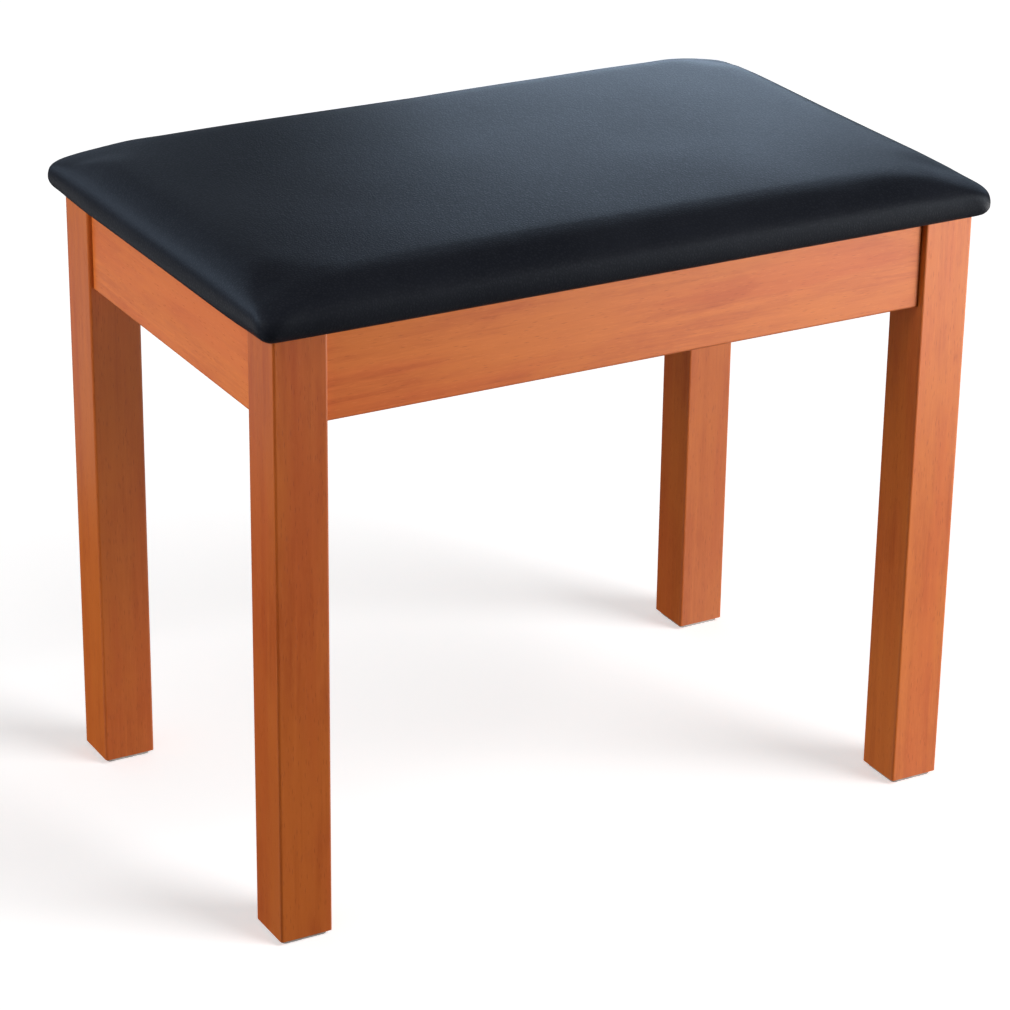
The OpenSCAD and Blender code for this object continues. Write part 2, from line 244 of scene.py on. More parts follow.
def stained_wood(node, grain, seed, pith, lean, tone_shift, rings_share):
    """Orange-brown stained hardwood under satin lacquer, for one straight piece. The tree's pith runs beside
    it and leans. tone_shift lightens or darkens it, and rings_share is how strongly its growth rings show."""
    low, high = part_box(node)
    s = Shader("stained_wood_" + node)
    axes, along, fibres = grain_space(s, low, high, grain, seed)
    rings = ring_lines(s, axes, along, fibres, pith, lean, RING_PITCH)
    # the noise's scales are features to a metre, across the fibres twice and then along them
    streaks = s.noise(fibres, (130, 130, 5), detail=3.0, roughness=0.55, distortion=0.5)
    hairs = s.noise(fibres, (850, 850, 45), detail=2.0, roughness=0.6)
    fleck = s.noise(fibres, (240, 240, 60), detail=3.0, roughness=0.6, distortion=0.6)
    blotch = s.noise(fibres, (22, 22, 9), detail=3.0, roughness=0.55)
    drift = s.noise(fibres, (38, 38, 4), detail=2.0)
    vein = s.noise(fibres, (330, 330, 10), detail=2.0, distortion=0.3)
    vein = s.math("MULTIPLY", s.spread(vein, 0.60, 0.72), s.spread(blotch, 0.45, 0.60))
    pore = s.voronoi(fibres, (1100, 1100, 110))
    chance = s.split(pore.outputs["Color"])[0]
    thin = s.spread(pore.outputs["Distance"], 0.10, 0.34, 1.0, 0.0)
    dark_pore = s.math("MULTIPLY", thin, s.spread(chance, 0.62, 0.64))
    pale_pore = s.math("MULTIPLY", thin, s.spread(chance, 0.16, 0.14))
    # painted light on the eased edges: a painted highlight, full on the edges of one diagonal of the section,
    # such as the top front and right front ones, and faint on the others, and painted shade on the edges of the
    # other diagonal, such as the bottom front and left front ones
    edge, diagonal = painted_edge_light(s, low, high, grain, EDGE_LIGHT_WIDTH)
    edge = s.math("MULTIPLY", edge, s.spread(streaks, 0.35, 0.6, 0.45, 1.0))
    lit_edge = s.math("MULTIPLY", edge, s.spread(diagonal, 0.0, -EDGE_SIDE, 0.12, 1.0))
    shaded_edge = s.math("MULTIPLY", edge, s.spread(diagonal, 0.0, EDGE_SIDE, 0.0, 1.0))

    depth = s.spread(streaks, 0.30, 0.70, -0.5, 0.5, smooth=False)
    depth = s.math("MULTIPLY_ADD", s.spread(hairs, 0.3, 0.7, -0.5, 0.5, smooth=False), 0.55, depth)
    depth = s.math("MULTIPLY_ADD", s.spread(fleck, 0.35, 0.65, -0.5, 0.5, smooth=False), 0.40, depth)
    ringed = s.math("MULTIPLY", rings, s.spread(drift, 0.40, 0.62))
    depth = s.math("MULTIPLY_ADD", ringed, -2.0 * rings_share, depth)
    depth = s.math("MULTIPLY_ADD", vein, -0.9, depth)
    tone = s.math("MULTIPLY_ADD", depth, 0.60, 0.58, clamp=True)
    colour = s.blend(tone, toned(STAIN_DEEP, tone_shift), toned(STAIN_LIGHT, tone_shift))
    layers = (
        (s.spread(blotch, 0.38, 0.62, 0.0, 0.60), STAIN_PATCH),
        (s.spread(drift, 0.45, 0.65, 0.0, 0.40), STAIN_DRIFT),
        (s.math("MULTIPLY", dark_pore, 0.55), PORE_DARK),
        (s.math("MULTIPLY", pale_pore, 0.28), PORE_PALE),
        # painted highlight and painted shade along the eased edges
        (s.math("MULTIPLY", lit_edge, 0.55), EDGE_HIGHLIGHT),
        (s.math("MULTIPLY", shaded_edge, 0.45), EDGE_SHADE),
    )
    for share, layer in layers:
        colour = s.blend(share, colour, toned(layer, tone_shift))

    gloss = s.math("MULTIPLY_ADD", hairs, 0.10, 0.36)
    gloss = s.math("MULTIPLY_ADD", dark_pore, 0.15, gloss)
    height = s.math("MULTIPLY_ADD", hairs, 0.35, s.math("MULTIPLY", streaks, 0.25))
    height = s.math("MULTIPLY_ADD", dark_pore, -0.5, height)
    s.set(Base_Color=colour, Roughness=gloss, Normal=s.bump(height, 0.10 * MM, 0.6))
    s.set(IOR=1.5, Coat_Weight=0.10, Coat_Roughness=0.30)
    return s.material


def plain_wood(node, grain, seed):
    """Unfinished pale wood with sawn fibres."""
    low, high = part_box(node)
    s = Shader("plain_wood_" + node)
    axes, along, fibres = grain_space(s, low, high, grain, seed)
    rings = ring_lines(s, axes, along, fibres, (0.05, 0.04), (0.06, 0.02), PLAIN_RING_PITCH)
    fibre = s.noise(fibres, (900, 900, 30), detail=3.0, roughness=0.65)
    saw = s.noise(fibres, (60, 60, 900), detail=1.0)
    sawn = s.spread(fibre, 0.25, 0.75, 0.45, 1.0, smooth=False)
    tone = s.math("MULTIPLY_ADD", rings, -0.55, sawn, clamp=True)
    height = s.math("MULTIPLY_ADD", saw, 0.5, fibre)
    s.set(Base_Color=s.blend(tone, PLAIN_DARK, PLAIN_LIGHT))
    s.set(Roughness=s.math("MULTIPLY_ADD", fibre, 0.2, 0.62))
    s.set(Normal=s.bump(height, 0.15 * MM, 0.7))
    return s.material


def plywood(node, plies):
    """Plywood: pale rotary-cut faces, and plies that show on the edges."""
    low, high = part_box(node)
    s = Shader("plywood")
    place = s.place()
    z = s.split(place)[2]
    level = s.math("MULTIPLY", s.math("SUBTRACT", z, low.z), plies / (high.z - low.z))
    cross = s.math("MODULO", s.math("FLOOR", level), 2.0)
    from_middle = s.math("ABSOLUTE", s.math("SUBTRACT", s.math("FRACT", level), 0.5))
    glue = s.spread(from_middle, 0.40, 0.5)
    along_x = s.noise(place, (18, 500, 500), detail=3.0)
    along_y = s.noise(place, (500, 18, 500), detail=3.0)
    straight = s.math("SUBTRACT", 1.0, cross)
    fibre = s.math("ADD", s.math("MULTIPLY", along_y, cross), s.math("MULTIPLY", along_x, straight))
    colour = s.blend(s.spread(fibre, 0.3, 0.7), PLY_DARK, PLY_LIGHT)
    colour = s.blend(s.math("MULTIPLY", glue, 0.6), colour, PLY_GLUE)
    s.set(Base_Color=colour, Roughness=s.math("MULTIPLY_ADD", fibre, 0.15, 0.65))
    s.set(Normal=s.bump(fibre, 0.1 * MM, 0.6))
    return s.material


# ---------------------------------------------------------------- fabric and metal

# the vinyl's colours: in the creases between the grain's pebbles, darker as painted shade, on the pebbles, and
# in the lighter worn patches
VINYL_DEEP = (0.0054, 0.0063, 0.0093)
VINYL_TOP = (0.0091, 0.0102, 0.0138)
VINYL_WORN = (0.0119, 0.0132, 0.0178)
# the vinyl's grain: pebbles to a metre, and what bends their outlines: its scale and its reach
PEBBLES = 440.0
WARP = 300.0
WARP_REACH = 1.4 * MM
LINING_DEEP = (0.010, 0.010, 0.011)
LINING_TOP = (0.034, 0.034, 0.037)
FELT_DEEP = (0.34, 0.34, 0.33)
FELT_TOP = (0.60, 0.60, 0.58)
# metals: plain colour, stained colour and gloss
ZINC = ((0.66, 0.67, 0.69), (0.50, 0.51, 0.53), 0.26)
BRASS = ((0.73, 0.56, 0.26), (0.52, 0.37, 0.15), 0.30)


def vinyl():
    """Black leather-grained vinyl with a satin finish."""
    s = Shader("black_vinyl")
    place = s.place()
    warp = s.node("ShaderNodeTexNoise")
    s.feed(warp.inputs["Vector"], place)
    warp.inputs["Scale"].default_value = WARP
    shift = s.vector("MULTIPLY", warp.outputs["Color"], (WARP_REACH, WARP_REACH, WARP_REACH))
    grain = s.voronoi(s.vector("ADD", place, shift), PEBBLES, feature="DISTANCE_TO_EDGE")
    pebble = s.spread(grain.outputs["Distance"], 0.0, 0.35)
    crease = s.noise(place, 210.0, detail=3.0, roughness=0.55)
    wear = s.noise(place, 9.0, detail=3.0)
    height = s.math("MULTIPLY_ADD", crease, 0.9, s.math("MULTIPLY", pebble, 0.55))
    # painted shade: the colour is darker in the creases between the pebbles
    colour = s.blend(pebble, VINYL_DEEP, VINYL_TOP)
    colour = s.blend(s.spread(wear, 0.35, 0.7, 0.0, 0.5), colour, VINYL_WORN)
    gloss = s.math("MULTIPLY_ADD", wear, 0.08, 0.44)
    gloss = s.math("MULTIPLY_ADD", pebble, -0.05, gloss)
    s.set(Base_Color=colour, Roughness=gloss, Normal=s.bump(height, 0.15 * MM, 0.6))
    s.set(IOR=1.42, Specular_IOR_Level=0.25, Sheen_Weight=0.01, Sheen_Roughness=0.5)
    return s.material


def lining():
    """Black spun-bonded fabric: matted fibres pressed with a fine grid of points."""
    s = Shader("black_lining")
    place = s.place()
    one = s.noise(place, (2400, 300, 1200), detail=2.0)
    two = s.noise(place, (300, 2400, 1200), detail=2.0)
    fibre = s.math("MAXIMUM", one, two)
    points = s.voronoi(place, (900, 900, 0.001), randomness=0.0)
    press = s.spread(points.outputs["Distance"], 0.18, 0.32)
    tone = s.math("MULTIPLY", s.spread(fibre, 0.45, 0.75), press)
    s.set(Base_Color=s.blend(tone, LINING_DEEP, LINING_TOP))
    s.set(Roughness=s.math("MULTIPLY_ADD", press, 0.25, 0.62))
    s.set(Normal=s.bump(s.math("MULTIPLY_ADD", fibre, 0.4, press), 0.12 * MM, 0.7), Sheen_Weight=0.15)
    return s.material


def felt():
    """Pale grey pressed felt."""
    s = Shader("grey_felt")
    place = s.place()
    tuft = s.noise(place, 700.0, detail=4.0, roughness=0.7, distortion=1.2)
    lump = s.noise(place, 120.0, detail=2.0)
    tone = s.math("MULTIPLY_ADD", lump, 0.4, s.math("MULTIPLY", tuft, 0.6))
    s.set(Base_Color=s.blend(s.spread(tone, 0.3, 0.7), FELT_DEEP, FELT_TOP))
    s.set(Roughness=s.math("MULTIPLY_ADD", tuft, 0.1, 0.88), Sheen_Weight=0.3)
    s.set(Normal=s.bump(tone, 0.5 * MM, 0.8))
    return s.material


def metal(name, colour, stain, gloss):
    """Plated metal with faint drawing marks and stains."""
    s = Shader(name)
    place = s.place()
    mark = s.noise(place, (700, 700, 120), detail=2.0)
    cloud = s.noise(place, 160.0, detail=3.0)
    s.set(Base_Color=s.blend(s.spread(cloud, 0.35, 0.75), colour, stain), Metallic=1.0)
    s.set(Roughness=s.math("MULTIPLY_ADD", cloud, 0.18, gloss), Normal=s.bump(mark, 0.03 * MM, 0.5))
    return s.material


def dress(node, material):
    """Gives a CAD node its material."""
    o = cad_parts[node]
    o.data.materials.clear()
    o.data.materials.append(material)


SEAT_PLIES = 7
ZINC_NODES = ("cover_staples", "leg_bolts", "spring_washers", "flat_washers", "block_screws", "seat_screws")
# how far from an apron's middle its pith lies, in metres, how much that leans, its tone, and how strongly its
# growth rings show
LONG_APRON = {"pith": (0.055, -0.012), "lean": (0.05, 0.035), "tone_shift": 1.08, "rings_share": 0.4}
END_APRON = {"pith": (0.06, 0.010), "lean": (0.04, -0.05), "tone_shift": 1.06, "rings_share": 0.3}
# which axis each apron's grain follows: 0 is x, and 1 is y
APRONS = {"front": (0, LONG_APRON), "rear": (0, LONG_APRON), "left": (1, END_APRON), "right": (1, END_APRON)}
# the same for the legs, whose pith moves on by one step with each seed
LEG_PITH = (0.045, 0.09)
PITH_STEP = (0.004, -0.007)
LEG_LEAN = (0.022, -0.016)
LEG_RINGS = 0.15
# painted light and shade: each leg is painted lighter or darker by how much light falls on it, the front-left
# one darkest
LEG_LIGHT_TONES = {"front_left": 0.77, "front_right": 1.04, "rear_left": 0.86, "rear_right": 0.87}


def dress_frame(pad_material):
    """Materials of the CAD nodes that stay."""
    for seed, (side, (grain, settings)) in enumerate(APRONS.items(), 1):
        apron = side + "_apron"
        dress(apron, stained_wood(apron, grain, seed, **settings))
    # tone paints each leg lighter or darker, as painted light and shade
    for seed, (corner, tone) in enumerate(LEG_LIGHT_TONES.items(), len(APRONS) + 1):
        leg = corner + "_leg"
        pith = (LEG_PITH[0] + PITH_STEP[0] * seed, LEG_PITH[1] + PITH_STEP[1] * seed)
        dress(leg, stained_wood(leg, 2, seed, pith, LEG_LEAN, tone, LEG_RINGS))
        dress(corner + "_block", plain_wood(corner + "_block", 2, seed))
        dress(corner + "_pad", pad_material)
    dress("apron_dowels", plain_wood("apron_dowels", 0, seed + 1))
    dress("seat_board", plywood("seat_board", SEAT_PLIES))
    zinc = metal("zinc_plate", *ZINC)
    for node in ZINC_NODES:
        dress(node, zinc)
    dress("threaded_inserts", metal("brass", *BRASS))


# ---------------------------------------------------------------- cushion

# the cushion's outline: how far it stands out past the legs, and the height of its belly above the frame
OVERHANG = 14.5 * MM
BELLY_Z = 11.0 * MM
# how far its underside tucks in, and how wide and high its shoulder is
TUCK_IN = 8 * MM
SHOULDER = 52 * MM
RIM_H = 31.0 * MM
# how gently the top bends into the shoulder, and how full the side is: 2 and 2 make an ellipse
SHOULDER_POWER = 3.0
SIDE_POWER = 2.4
# plan radius of the corners underneath, at the belly and at the top's edge
UNDER_R = 6 * MM
BELLY_R = 14 * MM
TOP_R = 42 * MM
# how that plan radius grows from the belly to the top's edge
RADIUS_POWER = 1.5
# the crown above the top's edge, what the cloth adds by itself, and how flat the crown is along x and y
CROWN = 6.0 * MM
CLOTH_RISE = 1.6 * MM
CROWN_POWERS = (2.8, 2.4)
# the share of its height above the belly that the top's edge loses at a corner, and how far in this reaches
CORNER_DROP = 0.35
DROP_REACH = 75 * MM
# how far the middle of each end, and of the front and back, is drawn in, and at what share the sides begin
END_DRAW = 1.0 * MM
FRONT_DRAW = 1.3 * MM
SIDE_START = 0.8
# the slow hollows in the foam: how deep, how many to a metre, and which part of the noise they are
HOLLOW = 0.35 * MM
HOLLOWS = 14
HOLLOW_SEED = 3.1
# the cover's pleats under each corner: how far in they reach, how deep and how many they are, how sharp they
# are, the level that counts as no pleat, and how far up to the belly they fade out, as a share
PLEAT_REACH = 24 * MM
PLEAT_DEPTH = 1.1 * MM
PLEAT_FOLDS = 10
PLEAT_SHARPNESS = 0.7
PLEAT_LEVEL = 0.6
PLEAT_TOP = 0.9
# width of the mesh's margin, inside which its grid is plain
MARGIN = 74 * MM
# points of the section before it is cut into even cells: on each flat stretch, on the shoulder and on the belly
FLAT_STEPS = 12
SHOULDER_STEPS = 40
BELLY_STEPS = 30
SEAT_X = leg_edge.x + OVERHANG
SEAT_Y = leg_edge.y + OVERHANG
# the mesh's cells: their size in the grid, and how many lie across the margin and down the wall
CELL = 5.2 * MM
RIM_CELLS = 13
WALL_CELLS = 9
# the share of the margin's width, measured along the section, where the wall begins
WALL_START = 0.88
# blowing up: how much smaller the cushion starts, the pressure, the frames, how often the moves are evened
# out, and the most that a point may move
START_INSET = 1.2 * MM
PRESSURE = 4.0
BLOW_FRAMES = 20
SMOOTH_ROUNDS = 6
BLOW_CAP = 2.4 * MM
# the cloth's own settings in both runs
CLOTH = {
    "quality": 6,
    "mass": 0.35,
    "tension_stiffness": 28.0,
    "compression_stiffness": 28.0,
    "shear_stiffness": 8.0,
    "air_damping": 3.0,
    "pin_stiffness": 5.0,
}


def seat_profile(inset):
    """The cushion's section from the margin's inner line over the shoulder and back in below. Each row is the
    reach beyond that line, the height above the frame, and the plan radius of the corner there."""
    top = RIM_H - inset
    rows = [(t * (MARGIN - SHOULDER), top, TOP_R) for t in np.linspace(0, 1, FLAT_STEPS)[:-1]]
    for a in np.linspace(math.pi / 2, 0, SHOULDER_STEPS)[:-1]:
        x = MARGIN - SHOULDER + (SHOULDER - inset) * math.cos(a) ** (2 / SHOULDER_POWER)
        z = BELLY_Z + (top - BELLY_Z) * math.sin(a) ** (2 / SIDE_POWER)
        rows.append((x, z, BELLY_R + (TOP_R - BELLY_R) * math.sin(a) ** RADIUS_POWER))
    for a in np.linspace(0, -math.pi / 2, BELLY_STEPS)[:-1]:
        x = MARGIN - TUCK_IN + (TUCK_IN - inset) * math.cos(a)
        rows.append((x, BELLY_Z + BELLY_Z * math.sin(a), BELLY_R + (BELLY_R - UNDER_R) * math.sin(a)))
    rows += [(t * (MARGIN - TUCK_IN), 0.0, UNDER_R) for t in np.linspace(1, 0, FLAT_STEPS)]
    return np.array(rows)


def section_points(inset):
    """The section cut into even steps over the top's edge, down the side and below. Returns three lists of
    rows, each with both its ends."""
    line = seat_profile(inset)
    length = np.concatenate([[0], np.cumsum(np.linalg.norm(np.diff(line[:, :2], axis=0), axis=1))])
    top_end = MARGIN * WALL_START
    low_end = length[-1] - (MARGIN - TUCK_IN)
    cuts = (
        np.linspace(0, top_end, RIM_CELLS + 1),
        np.linspace(top_end, low_end, WALL_CELLS + 1),
        np.linspace(length[-1], low_end, RIM_CELLS + 1),
    )
    return [np.stack([np.interp(c, length, line[:, k]) for k in range(3)], 1) for c in cuts]


def corner_turn(i, j):
    """Cell (i, j) of a corner's square of cells, as a ring number and a share of the way round the corner."""
    ring = max(i, j)
    if ring == 0:
        return 0, 0.0
    return ring, 0.5 * j / i if i >= j else 1 - 0.5 * i / j


def corner_point(reach, radius, share):
    """The point at that share of the way from (reach, 0) to (0, reach), round a corner of that radius."""
    radius = min(radius, reach)
    straight, bend = reach - radius, radius * math.pi / 2
    way = share * (2 * straight + bend)
    if way <= straight:
        return reach, way
    if way >= straight + bend:
        return 2 * straight + bend - way, reach
    angle = (way - straight) / radius
    return straight + radius * math.cos(angle), straight + radius * math.sin(angle)


def build_cushion(inset):
    """A closed quad mesh of the seat: a grid above and below, and a wall between them whose cells follow the
    rounded corners. Returns the mesh and the indices of the underside's vertices."""
    core_x, core_y = SEAT_X - MARGIN, SEAT_Y - MARGIN
    nx, ny = round(2 * core_x / CELL), round(2 * core_y / CELL)
    top, side, low = section_points(inset)
    rim = RIM_CELLS
    total_x, total_y = nx + 2 * rim, ny + 2 * rim

    def plan(i, j, section, row):
        """Grid position to a point: inside the core it is flat, and in the margin it follows the section, or
        just one row of it."""
        out_x = max(rim - i, i - rim - nx, 0)
        out_y = max(rim - j, j - rim - ny, 0)
        sign_x = -1 if i < rim else 1
        sign_y = -1 if j < rim else 1
        base_x = -core_x + 2 * core_x * min(max(i - rim, 0), nx) / nx
        base_y = -core_y + 2 * core_y * min(max(j - rim, 0), ny) / ny
        ring, share = corner_turn(out_x, out_y)
        reach, height, radius = section[ring if row is None else row]
        if out_x and out_y:
            off_x, off_y = corner_point(reach, radius, share)
        else:
            off_x, off_y = reach * (out_x > 0), reach * (out_y > 0)
        return Vector((base_x + sign_x * off_x, base_y + sign_y * off_y, height))

    bm = bmesh.new()
    above, below = (
        [[bm.verts.new(plan(i, j, section, None)) for j in range(total_y + 1)] for i in range(total_x + 1)]
        for section in (top, low)
    )
    for i in range(total_x):
        for j in range(total_y):
            bm.faces.new((above[i][j], above[i + 1][j], above[i + 1][j + 1], above[i][j + 1]))
            bm.faces.new((below[i][j], below[i][j + 1], below[i + 1][j + 1], below[i + 1][j]))
    border = [(i, 0) for i in range(total_x)] + [(total_x, j) for j in range(total_y)]
    border += [(i, total_y) for i in range(total_x, 0, -1)] + [(0, j) for j in range(total_y, 0, -1)]
    rings = [[above[i][j] for i, j in border]]
    for k in range(1, WALL_CELLS):
        rings.append([bm.verts.new(plan(i, j, side, k)) for i, j in border])
    rings.append([below[i][j] for i, j in border])
    for upper, lower in zip(rings, rings[1:]):
        for n in range(len(border)):
            m = (n + 1) % len(border)
            bm.faces.new((upper[n], lower[n], lower[m], upper[m]))
    bm.verts.index_update()
    under = [v.index for column in below for v in column]
    mesh = bpy.data.meshes.new("seat_cushion")
    bm.normal_update()
    bm.to_mesh(mesh)
    bm.free()
    mesh.transform(Matrix.Translation((0, 0, FRAME_TOP)))
    return mesh, under


def coordinates(mesh):
    co = np.zeros(len(mesh.vertices) * 3)
    mesh.vertices.foreach_get("co", co)
    return co.reshape(-1, 3)


def run_cloth(o, held, frames, pressure=0.0, gravity=0.0, bending=1.5):
    """Runs the piece as cloth held at some vertices, blown up or hanging. Returns where its vertices end."""
    group = o.vertex_groups.new(name="held")
    group.add(held, 1.0, "REPLACE")
    cloth = o.modifiers.new("cloth", "CLOTH")
    settings = cloth.settings
    for key, value in CLOTH.items():
        setattr(settings, key, value)
    settings.bending_stiffness = bending
    settings.use_pressure = pressure > 0
    settings.uniform_pressure_force = pressure
    settings.effector_weights.gravity = gravity
    settings.vertex_group_mass = "held"
    cloth.collision_settings.use_collision = False
    cloth.point_cache.frame_start = 1
    cloth.point_cache.frame_end = frames
    scene = bpy.context.scene
    for f in range(1, frames + 1):
        scene.frame_set(f)
    result = coordinates(o.evaluated_get(bpy.context.evaluated_depsgraph_get()).data)
    o.modifiers.remove(cloth)
    o.vertex_groups.clear()
    scene.frame_set(1)
    return result


def evened(values, edges):
    """Values per vertex, drawn halfway to their neighbours' average in each round."""
    count = np.bincount(edges.ravel(), minlength=len(values))[:, None]
    for _ in range(SMOOTH_ROUNDS):
        total = np.zeros_like(values)
        np.add.at(total, edges[:, 0], values[edges[:, 1]])
        np.add.at(total, edges[:, 1], values[edges[:, 0]])
        values = (values + total / count) / 2
    return values


def make_cushion(material):
    """The upholstered seat: foam and board in one tight vinyl cover."""
    mesh, under = build_cushion(START_INSET)
    o = add_object("seat_cushion", mesh)
    start = coordinates(mesh)
    edges = np.zeros(len(mesh.edges) * 2, int)
    mesh.edges.foreach_get("vertices", edges)
    edges = edges.reshape(-1, 2)
    move = run_cloth(o, under, BLOW_FRAMES, pressure=PRESSURE) - start
    move = evened(move, edges)
    size = np.linalg.norm(move, axis=1, keepdims=True)
    move *= BLOW_CAP * np.tanh(size / BLOW_CAP) / np.maximum(size, TINY)
    move[under] = 0.0
    end = start + move + cover_shape(start)
    mesh.vertices.foreach_set("co", end.ravel())
    mesh.update()
    finer = o.modifiers.new("finer", "SUBSURF")
    finer.levels = 1
    finer.render_levels = 1
    mesh.polygons.foreach_set("use_smooth", [True] * len(mesh.polygons))
    mesh.materials.append(material)
    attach(o, "root")
    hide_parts("seat_cover", "foam_pad")
    return o


def cover_shape(start):
    """How far each vertex moves for what a simulation of this size leaves out: the crown, the lowered
    corners, the drawn-in sides, slow hollows in the foam, and the pleats where the cover is gathered."""
    x, y, z = start[:, 0], start[:, 1], start[:, 2] - FRAME_TOP
    u, v = x / SEAT_X, y / SEAT_Y
    up = np.clip((z - BELLY_Z) / (RIM_H - BELLY_Z), 0, 1)
    out = np.zeros_like(start)
    power_u, power_v = CROWN_POWERS
    out[:, 2] += (CROWN - CLOTH_RISE) * up * (1 - np.abs(u) ** power_u) * (1 - np.abs(v) ** power_v)
    near = [1 - np.clip((h - np.abs(c)) / DROP_REACH, 0, 1) for h, c in ((SEAT_X, x), (SEAT_Y, y))]
    near_x, near_y = [n * n * (3 - 2 * n) for n in near]
    rise = np.clip(z - BELLY_Z, 0, None)
    out[:, 2] -= CORNER_DROP * near_x * near_y * rise ** 2 / (RIM_H - BELLY_Z)
    side = np.clip(z / BELLY_Z, 0, 1)
    out[:, 0] -= END_DRAW * side * np.sign(x) * (np.abs(u) > SIDE_START) * (1 - v ** 2)
    out[:, 1] -= FRONT_DRAW * side * np.sign(y) * (np.abs(v) > SIDE_START) * (1 - u ** 2)
    slow = np.array([noise.noise(Vector((a, b, c + HOLLOW_SEED))) for a, b, c in start * HOLLOWS])
    out[:, 2] += HOLLOW * slow * up
    dx = np.clip(np.abs(x) - (SEAT_X - PLEAT_REACH), 0, None)
    dy = np.clip(np.abs(y) - (SEAT_Y - PLEAT_REACH), 0, None)
    reach = np.hypot(dx, dy)
    turn = np.arctan2(dy, dx)
    corner = (dx > TINY) & (dy > TINY)
    low = np.clip(1 - z / (BELLY_Z * PLEAT_TOP), 0, 1)
    fold = np.abs(np.sin(turn * PLEAT_FOLDS)) ** PLEAT_SHARPNESS - PLEAT_LEVEL
    depth = PLEAT_DEPTH * fold * low * np.sin(2 * turn) * corner * np.clip(reach / PLEAT_REACH, 0, 1)
    out[:, 0] += depth * np.sign(x) * np.cos(turn)
    out[:, 1] += depth * np.sign(y) * np.sin(turn)
    return out


# ---------------------------------------------------------------- lining under the seat

# its hang: the frames, and the most that a point may sink
HANG_FRAMES = 24
HANG_CAP = 7.0 * MM
LINING_CELL = 5.0 * MM
LINING_THICKNESS = 0.5 * MM
# how near to a staple the lining is held, and how far from one it is free of its pull
STAPLE_HOLD = 4.5 * MM
STAPLE_PULL = 9 * MM
# the puckers at its edge: how deep, how far in they reach, how many to a metre, and their part of the noise
PUCKER = 0.5 * MM
PUCKER_REACH = 25 * MM
PUCKERS = 95
PUCKER_SEED = 0.7


def make_lining(material):
    """The black cloth stapled under the seat, with clipped corners and a little sag between its staples."""
    low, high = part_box("dust_cover")
    corners = [v.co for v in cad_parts["dust_cover"].data.vertices]
    clip = max(c.x + c.y for c in corners)
    nx, ny = round(2 * high.x / LINING_CELL), round(2 * high.y / LINING_CELL)
    rows = []
    for j in range(ny + 1):
        y = low.y + (high.y - low.y) * j / ny
        reach = min(high.x, clip - abs(y))
        rows.append([(reach * (2 * i / nx - 1), y, low.z) for i in range(nx + 1)])
    points = [p for row in rows for p in row]
    stride = nx + 1
    firsts = [j * stride + i for j in range(ny) for i in range(nx)]
    faces = [(k, k + stride, k + stride + 1, k + 1) for k in firsts]
    mesh = bpy.data.meshes.new("underseat_lining")
    mesh.from_pydata(points, [], faces)
    o = add_object("underseat_lining", mesh)

    staples = [v.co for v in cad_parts["cover_staples"].data.vertices]
    crowns = np.array([(c.x, c.y) for c in staples if c.z < low.z])
    start = coordinates(mesh)
    gap = np.min(np.linalg.norm(start[:, None, :2] - crowns[None], axis=2), axis=1)
    edge = np.minimum(high.x - np.abs(start[:, 0]), high.y - np.abs(start[:, 1]))
    edge = np.minimum(edge, (clip - np.abs(start[:, 0]) - np.abs(start[:, 1])) / math.sqrt(2))
    held = np.flatnonzero(gap < STAPLE_HOLD).tolist()
    fallen = run_cloth(o, held, HANG_FRAMES, gravity=1.0, bending=0.05) - start
    deep = np.clip(-fallen[:, 2], 0, None)
    start[:, 2] -= HANG_CAP * np.tanh(deep / HANG_CAP)
    # puckers run in from the edge, and fade towards the staples
    ripple = np.array([noise.noise(Vector((a, b, PUCKER_SEED))) for a, b, _ in start * PUCKERS])
    start[:, 2] += PUCKER * ripple * np.exp(-edge / PUCKER_REACH) * np.clip(gap / STAPLE_PULL, 0, 1)
    start[:, 2] = np.minimum(start[:, 2], low.z)
    mesh.vertices.foreach_set("co", start.ravel())
    mesh.polygons.foreach_set("use_smooth", [True] * len(mesh.polygons))
    mesh.update()
    thick = o.modifiers.new("thickness", "SOLIDIFY")
    thick.thickness = LINING_THICKNESS
    thick.offset = -1.0
    mesh.materials.append(material)
    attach(o, "root")
    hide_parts("dust_cover")
    return o


# ---------------------------------------------------------------- camera, light and floor

# the photograph's view: the point it looks at, where from in degrees and metres, its tilt, and the lens in mm
VIEW_AIM = (-0.0340, -0.0505, 0.230)
VIEW_FROM = (-29.315, 23.611)
VIEW_DISTANCE = 2.4897
VIEW_TILT = 0.774
SENSOR = 36.0
LENS = 127.73


def make_camera():
    """The photograph's viewing angle, and its plain colours."""
    bpy.context.scene.view_settings.view_transform = "Standard"
    back = direction(*VIEW_FROM)
    data = bpy.data.cameras.new("camera")
    data.sensor_width = SENSOR
    data.lens = LENS
    camera = add_object("camera", data)
    camera.rotation_mode = "QUATERNION"
    camera.location = Vector(VIEW_AIM) + back * VIEW_DISTANCE
    tilt = Quaternion((0, 0, 1), math.radians(VIEW_TILT))
    camera.rotation_quaternion = (-back).to_track_quat("-Z", "Y") @ tilt
    bpy.context.scene.camera = camera


# strength of the studio's even light from above, and how far up and down from the horizon it fades in, where
# straight up is 1
SKY = 0.30
HORIZON = 0.3
# the sun-like key: azimuth and elevation that it comes from and its width, in degrees, and its strength
KEY_FROM = (40, 45)
KEY_WIDTH = 30
KEY_STRENGTH = 1.6
COOL = (0.60, 0.77, 1.0)
PALE_COOL = (0.86, 0.94, 1.0)
WHITE = (1.0, 1.0, 1.0)
